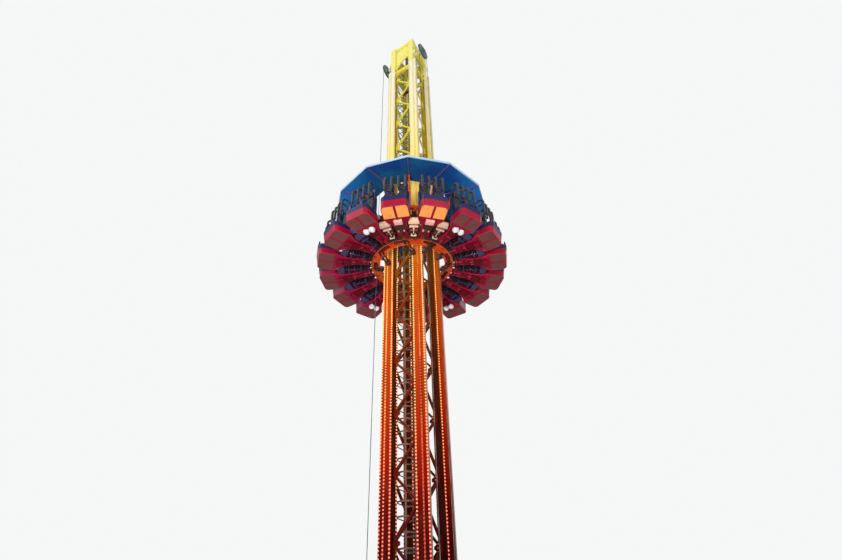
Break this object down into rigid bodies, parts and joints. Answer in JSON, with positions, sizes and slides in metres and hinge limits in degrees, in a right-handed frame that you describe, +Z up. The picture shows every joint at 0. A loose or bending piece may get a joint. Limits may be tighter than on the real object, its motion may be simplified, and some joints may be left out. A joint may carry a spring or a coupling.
{
  "type": "drop tower ride",
  "caption": "Lattice tower with guide rails, ladder and head sheaves, and a ring gondola of outward-facing seat pairs under a round canopy that slides up and down it",
  "frame": {"origin": "middle of the base plate's underside, where it stands on its foundation", "axes": "+Z up the tower, -Y out of the ladder side's flat lattice, +X towards the right-hand head sheave"},
  "size_m": [5.7242, 5.7242, 23.85],
  "materials": {
    "tower_paint": "gloss paint, worn at the edges",
    "rail_paint": "gloss paint, polished running faces",
    "galvanised": "hot-dip galvanised",
    "sheave_paint": "grey-green paint with bright groove",
    "rope_steel": "greased wire rope",
    "ring_paint": "orange-red gloss paint",
    "bogie_paint": "dark maroon paint",
    "roller_rubber": "solid tyre",
    "shell_red": "moulded glass-fibre with gloss gel coat",
    "back_blue": "moulded glass-fibre",
    "arm_paint": "black paint",
    "pan_grey": "satin paint",
    "cushion": "padded vinyl",
    "canopy_blue": "glass-fibre panels",
    "rib_mauve": "satin paint",
    "rim_grey": "extruded edge trim"
  },
  "bodies": {
    "tower": {"base_plate": "tower_paint", "base_stiffeners": "tower_paint", "post_front_left": "tower_paint", "post_front_right": "tower_paint", "post_rear_left": "tower_paint", "post_rear_right": "tower_paint", "guide_rails_left": "rail_paint", "guide_rails_right": "rail_paint", "lattice_front": "tower_paint", "lattice_rear": "tower_paint", "lattice_left": "tower_paint", "lattice_right": "tower_paint", "ladder": "galvanised", "ladder_cage": "galvanised", "head_beams_lower": "tower_paint", "head_beams_upper": "tower_paint", "head_bracing": "tower_paint", "sheave_brackets_left": "tower_paint", "sheave_brackets_right": "tower_paint", "foot_sheave_left": "sheave_paint", "foot_sheave_right": "sheave_paint", "hoist_rope_left": "rope_steel", "hoist_rope_right": "rope_steel"},
    "gondola": {"carriage_ring": "ring_paint", "upper_ring": "ring_paint", "carriage_posts": "ring_paint", "roller_bogies": "bogie_paint", "guide_rollers": "roller_rubber", "rope_clamps": "bogie_paint", "seat_arms": "arm_paint", "petal_shells": "shell_red", "seat_pans": "pan_grey", "seat_cushions": "cushion", "seat_backs": "back_blue", "back_cushions": "cushion", "seat_horns": "shell_red", "shoulder_bars": "arm_paint", "canopy_shell": "canopy_blue", "canopy_ribs": "rib_mauve", "canopy_rim": "rim_grey", "canopy_struts": "ring_paint"},
    "left_sheave": {"head_sheave_left": "sheave_paint"},
    "right_sheave": {"head_sheave_right": "sheave_paint"}
  },
  "joints": [
    {"name": "gondola_slide", "type": "slide", "parent": "tower", "child": "gondola", "axis": [0, 0, 1], "range_m": [-10.5, 7.9]},
    {"name": "left_sheave_spin", "type": "hinge", "parent": "tower", "child": "left_sheave", "pos_m": [-0.89, -0.3, 22.85], "axis": [1, 0, 0], "continuous": true},
    {"name": "right_sheave_spin", "type": "hinge", "parent": "tower", "child": "right_sheave", "pos_m": [0.89, -0.3, 22.85], "axis": [1, 0, 0], "continuous": true}
  ],
  "couplings": [
    {"joint": "left_sheave_spin", "follows": "gondola_slide", "rad_per_m": 3.3333},
    {"joint": "right_sheave_spin", "follows": "gondola_slide", "rad_per_m": 3.3333}
  ]
}
